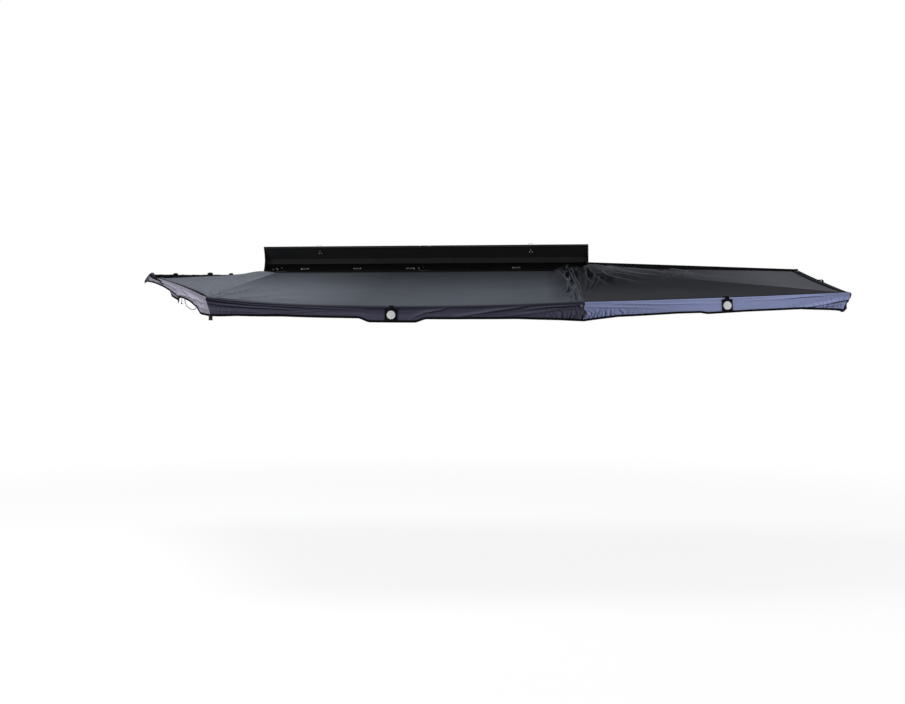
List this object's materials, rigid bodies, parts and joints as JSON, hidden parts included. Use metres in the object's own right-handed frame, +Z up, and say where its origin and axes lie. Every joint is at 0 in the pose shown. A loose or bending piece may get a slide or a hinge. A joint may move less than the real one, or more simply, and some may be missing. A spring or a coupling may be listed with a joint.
{
  "type": "vehicle side awning",
  "caption": "Hard-case side awning: hinged arms on two hubs spread a canopy with valances from a case whose lid flips up over it.",
  "frame": {"origin": "middle of the case's flat back face", "axes": "+X along the case towards the vehicle's rear, +Y towards the vehicle, +Z up"},
  "size_m": [4.8722, 2.4594, 0.6243],
  "materials": {
    "case_paint": "black satin powder coat",
    "end_cap": "fine-grained black moulding",
    "rail_alloy": "black anodised",
    "seal_rubber": "matt",
    "hub_paint": "black powder coat",
    "zinc_steel": "zinc plated",
    "bush_nylon": "moulded nylon",
    "arm_alloy": "black anodised",
    "tip_nylon": "moulded nylon",
    "canopy_cloth": "slate grey coated ripstop",
    "valance_cloth": "dark coated ripstop",
    "valance_lilac": "coated ripstop in full light",
    "webbing": "black polyester webbing",
    "cord": "grey braided cord"
  },
  "bodies": {
    "case": {"case_back": "case_paint", "canopy_rail": "rail_alloy", "case_seal": "seal_rubber", "case_end_cap_front": "end_cap", "case_end_cap_rear": "end_cap", "hub_bracket_front": "hub_paint", "hub_bracket_rear": "hub_paint", "pivot_pin_front": "zinc_steel", "pivot_pin_rear": "zinc_steel", "front_hub_upper_bush": "bush_nylon", "front_hub_lower_bush": "bush_nylon", "rear_hub_bush": "bush_nylon", "rack_bracket_front": "hub_paint", "rack_bracket_middle": "hub_paint", "rack_bracket_rear": "hub_paint", "hinge_leaf_case_front": "zinc_steel", "hinge_leaf_case_middle": "zinc_steel", "hinge_leaf_case_rear": "zinc_steel", "latch_keeper_front": "zinc_steel", "latch_keeper_rear": "zinc_steel", "side_panel": "canopy_cloth", "valance_side": "valance_cloth", "edge_strap_side": "webbing"},
    "lid": {"lid_shell": "case_paint", "lid_end_cap_front": "end_cap", "lid_end_cap_rear": "end_cap", "hinge_leaf_lid_front": "zinc_steel", "hinge_leaf_lid_middle": "zinc_steel", "hinge_leaf_lid_rear": "zinc_steel", "latch_base_front": "zinc_steel", "latch_base_rear": "zinc_steel"},
    "arm_a": {"arm_a_tube": "arm_alloy", "arm_a_knuckle": "hub_paint", "arm_a_tip": "tip_nylon"},
    "arm_b": {"arm_b_tube": "arm_alloy", "arm_b_knuckle": "hub_paint", "arm_b_tip": "tip_nylon", "front_panel": "canopy_cloth", "valance_front": "valance_lilac", "edge_strap_front": "webbing", "front_cord": "cord"},
    "arm_c": {"arm_c_tube": "arm_alloy", "arm_c_knuckle": "hub_paint", "arm_c_tip": "tip_nylon"},
    "arm_d": {"arm_d_tube": "arm_alloy", "arm_d_knuckle": "hub_paint", "arm_d_tip": "tip_nylon", "corner_panel": "canopy_cloth", "valance_corner": "valance_lilac", "edge_strap_corner": "webbing", "rear_panel": "canopy_cloth", "valance_rear": "valance_cloth", "edge_strap_rear": "webbing"},
    "arm_e": {"arm_e_tube": "arm_alloy", "arm_e_knuckle": "hub_paint", "arm_e_tip": "tip_nylon"},
    "latch_lever_front": {"latch_lever_front": "zinc_steel"},
    "latch_bail_front": {"latch_bail_front": "zinc_steel"},
    "latch_lever_rear": {"latch_lever_rear": "zinc_steel"},
    "latch_bail_rear": {"latch_bail_rear": "zinc_steel"}
  },
  "joints": [
    {"name": "arm_c_fold", "type": "hinge", "parent": "case", "child": "arm_c", "pos_m": [1.175, -0.09, 0.095], "axis": [0, 0.098, -0.9952], "range_deg": [0, 90.8], "deforming": ["side_panel", "valance_side", "edge_strap_side"]},
    {"name": "arm_d_fold", "type": "hinge", "parent": "arm_c", "child": "arm_d", "pos_m": [1.175, -0.09, 0.095], "axis": [0, 0.098, -0.9952], "range_deg": [0, 42.9], "deforming": ["corner_panel", "valance_corner", "edge_strap_corner"]},
    {"name": "arm_e_fold", "type": "hinge", "parent": "arm_d", "child": "arm_e", "pos_m": [1.175, -0.09, 0.095], "axis": [0, 0.098, -0.9952], "range_deg": [0, 46.3], "deforming": ["rear_panel", "valance_rear", "edge_strap_rear"]},
    {"name": "arm_b_fold", "type": "hinge", "parent": "case", "child": "arm_b", "pos_m": [-1.175, -0.09, 0.095], "axis": [0, -0.098, 0.9952], "range_deg": [0, 84.9]},
    {"name": "arm_a_fold", "type": "hinge", "parent": "arm_b", "child": "arm_a", "pos_m": [-1.175, -0.09, 0.095], "axis": [0, -0.098, 0.9952], "range_deg": [0, 95.1], "deforming": ["front_panel", "valance_front", "edge_strap_front", "front_cord"]},
    {"name": "lid_hinge", "type": "hinge", "parent": "case", "child": "lid", "pos_m": [0, -0.058, 0.0968], "axis": [1, 0, 0], "range_deg": [0, 85]},
    {"name": "latch_lever_front_hinge", "type": "hinge", "parent": "lid", "child": "latch_lever_front", "pos_m": [-0.8, 0.00013, 0.24402], "axis": [1, 0, 0], "range_deg": [0, 110]},
    {"name": "latch_bail_front_hinge", "type": "hinge", "parent": "latch_lever_front", "child": "latch_bail_front", "pos_m": [-0.8, 0.01038, 0.23578], "axis": [1, 0, 0], "range_deg": [-110, 0]},
    {"name": "latch_lever_rear_hinge", "type": "hinge", "parent": "lid", "child": "latch_lever_rear", "pos_m": [0.8, 0.00013, 0.24402], "axis": [1, 0, 0], "range_deg": [0, 110]},
    {"name": "latch_bail_rear_hinge", "type": "hinge", "parent": "latch_lever_rear", "child": "latch_bail_rear", "pos_m": [0.8, 0.01038, 0.23578], "axis": [1, 0, 0], "range_deg": [-110, 0]}
  ],
  "couplings": [
    {"joint": "arm_d_fold", "follows": "arm_c_fold", "ratio": 0.47246},
    {"joint": "arm_e_fold", "follows": "arm_c_fold", "ratio": 0.5099},
    {"joint": "arm_b_fold", "follows": "arm_c_fold", "ratio": 0.93501},
    {"joint": "arm_a_fold", "follows": "arm_c_fold", "ratio": 1.0474},
    {"joint": "latch_bail_front_hinge", "follows": "latch_lever_front_hinge", "ratio": -1},
    {"joint": "latch_bail_rear_hinge", "follows": "latch_lever_rear_hinge", "ratio": -1}
  ]
}
